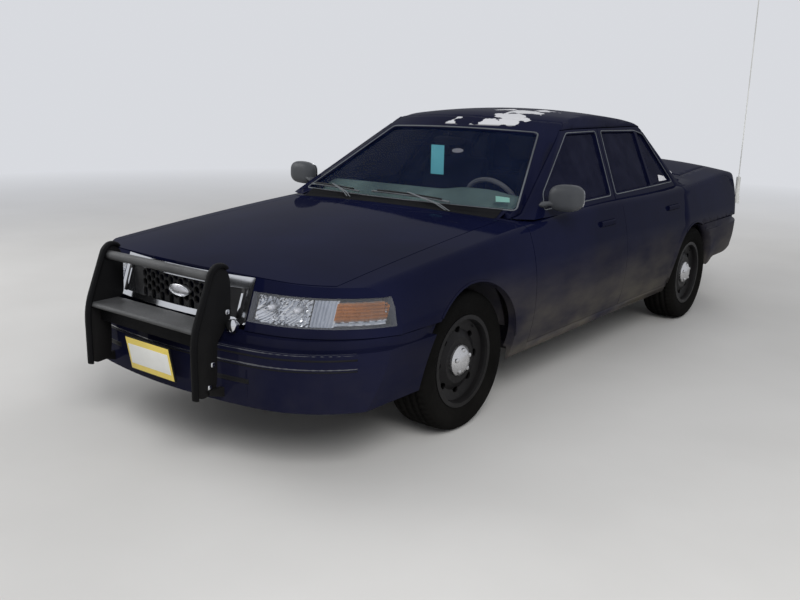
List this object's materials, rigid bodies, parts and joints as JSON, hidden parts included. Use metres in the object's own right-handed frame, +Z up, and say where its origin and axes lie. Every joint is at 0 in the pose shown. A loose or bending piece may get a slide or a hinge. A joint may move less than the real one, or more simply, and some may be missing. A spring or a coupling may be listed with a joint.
{
  "type": "police patrol car",
  "caption": "Full-size four-door sedan patrol car with push bumper, opening doors, hood and trunk, steering and rolling wheels.",
  "frame": {"origin": "centre of the footprint on the ground, push bumper to rear bumper", "axes": "+X to the car's left, -Y to its front, +Z up"},
  "size_m": [2.15, 5.5, 2.8499],
  "materials": {
    "paint": "gloss, dark blue-black, worn on the roof",
    "clear_glass": "clear laminated screen",
    "tinted_glass": "dark tinted",
    "lamp_lens": "clear lens over bright reflectors",
    "tail_lens": "dark red lens",
    "chrome": "bright",
    "black_plastic": "matt black",
    "grey_plastic": "satin dark grey",
    "black_steel": "matt black powder coat with rubber strips",
    "frame_steel": "black",
    "cast_iron": "raw",
    "aluminium": "cast",
    "dash_plastic": "grey-green grained",
    "wheel_leather": "grey",
    "seat_fabric": "dark grey cloth",
    "exhaust_steel": "dull",
    "antenna_white": "off-white",
    "tyre": "worn rubber",
    "wheel_paint": "black steel wheel"
  },
  "bodies": {
    "root": {"antenna": "antenna_white", "body_shell": "paint", "bumper_front": "paint", "bumper_rear": "paint", "chassis_frame": "frame_steel", "dashboard": "dash_plastic", "driveshaft": "frame_steel", "engine": "aluminium", "exhaust": "exhaust_steel", "fender_left": "paint", "fender_right": "paint", "front_seats": "seat_fabric", "grille_frame": "chrome", "grille_mesh": "black_plastic", "headlamps": "lamp_lens", "push_bumper": "black_steel", "rear_axle": "cast_iron", "rear_seat": "seat_fabric", "rear_window": "tinted_glass", "steering_wheel": "wheel_leather", "tail_lamps": "tail_lens", "windscreen": "clear_glass"},
    "door_front_left": {"door_front_left": "paint", "glass_front_left": "tinted_glass", "mirror_left": "grey_plastic"},
    "wheel_front_left": {"tyre_front_left": "tyre", "rim_front_left": "wheel_paint", "hub_cap_front_left": "chrome"},
    "door_front_right": {"door_front_right": "paint", "glass_front_right": "tinted_glass", "mirror_right": "grey_plastic"},
    "wheel_front_right": {"tyre_front_right": "tyre", "rim_front_right": "wheel_paint", "hub_cap_front_right": "chrome"},
    "door_rear_left": {"door_rear_left": "paint", "glass_rear_left": "tinted_glass"},
    "wheel_rear_left": {"tyre_rear_left": "tyre", "rim_rear_left": "wheel_paint", "hub_cap_rear_left": "chrome"},
    "door_rear_right": {"door_rear_right": "paint", "glass_rear_right": "tinted_glass"},
    "wheel_rear_right": {"tyre_rear_right": "tyre", "rim_rear_right": "wheel_paint", "hub_cap_rear_right": "chrome"},
    "hood": {"hood": "paint"},
    "trunk_lid": {"trunk_lid": "paint"},
    "knuckle_left": {"knuckle_left": "cast_iron"},
    "knuckle_right": {"knuckle_right": "cast_iron"}
  },
  "joints": [
    {"name": "front_door_left", "type": "hinge", "parent": "root", "child": "door_front_left", "pos_m": [0.977, -0.995, 0.6], "axis": [0, 0, -1], "range_deg": [0, 65]},
    {"name": "rear_door_left", "type": "hinge", "parent": "root", "child": "door_rear_left", "pos_m": [0.977, 0.14, 0.6], "axis": [0, 0, -1], "range_deg": [0, 65]},
    {"name": "steer_left", "type": "hinge", "parent": "root", "child": "knuckle_left", "pos_m": [0.725, -1.555, 0.345], "axis": [0, 0, 1], "range_deg": [-32, 32]},
    {"name": "spin_front_left", "type": "hinge", "parent": "knuckle_left", "child": "wheel_front_left", "pos_m": [0.805, -1.555, 0.345], "axis": [1, 0, 0], "continuous": true},
    {"name": "spin_rear_left", "type": "hinge", "parent": "root", "child": "wheel_rear_left", "pos_m": [0.833, 1.358, 0.345], "axis": [1, 0, 0], "continuous": true},
    {"name": "front_door_right", "type": "hinge", "parent": "root", "child": "door_front_right", "pos_m": [-0.977, -0.995, 0.6], "axis": [0, 0, 1], "range_deg": [0, 65]},
    {"name": "rear_door_right", "type": "hinge", "parent": "root", "child": "door_rear_right", "pos_m": [-0.977, 0.14, 0.6], "axis": [0, 0, 1], "range_deg": [0, 65]},
    {"name": "steer_right", "type": "hinge", "parent": "root", "child": "knuckle_right", "pos_m": [-0.725, -1.555, 0.345], "axis": [0, 0, 1], "range_deg": [-32, 32]},
    {"name": "spin_front_right", "type": "hinge", "parent": "knuckle_right", "child": "wheel_front_right", "pos_m": [-0.805, -1.555, 0.345], "axis": [1, 0, 0], "continuous": true},
    {"name": "spin_rear_right", "type": "hinge", "parent": "root", "child": "wheel_rear_right", "pos_m": [-0.833, 1.358, 0.345], "axis": [1, 0, 0], "continuous": true},
    {"name": "hood_hinge", "type": "hinge", "parent": "root", "child": "hood", "pos_m": [0, -1.007, 0.995], "axis": [-1, 0, 0], "range_deg": [0, 50]},
    {"name": "trunk_hinge", "type": "hinge", "parent": "root", "child": "trunk_lid", "pos_m": [0, 1.66, 1.07], "axis": [1, 0, 0], "range_deg": [0, 75]}
  ],
  "couplings": [
    {"joint": "steer_right", "follows": "steer_left", "ratio": 1}
  ]
}
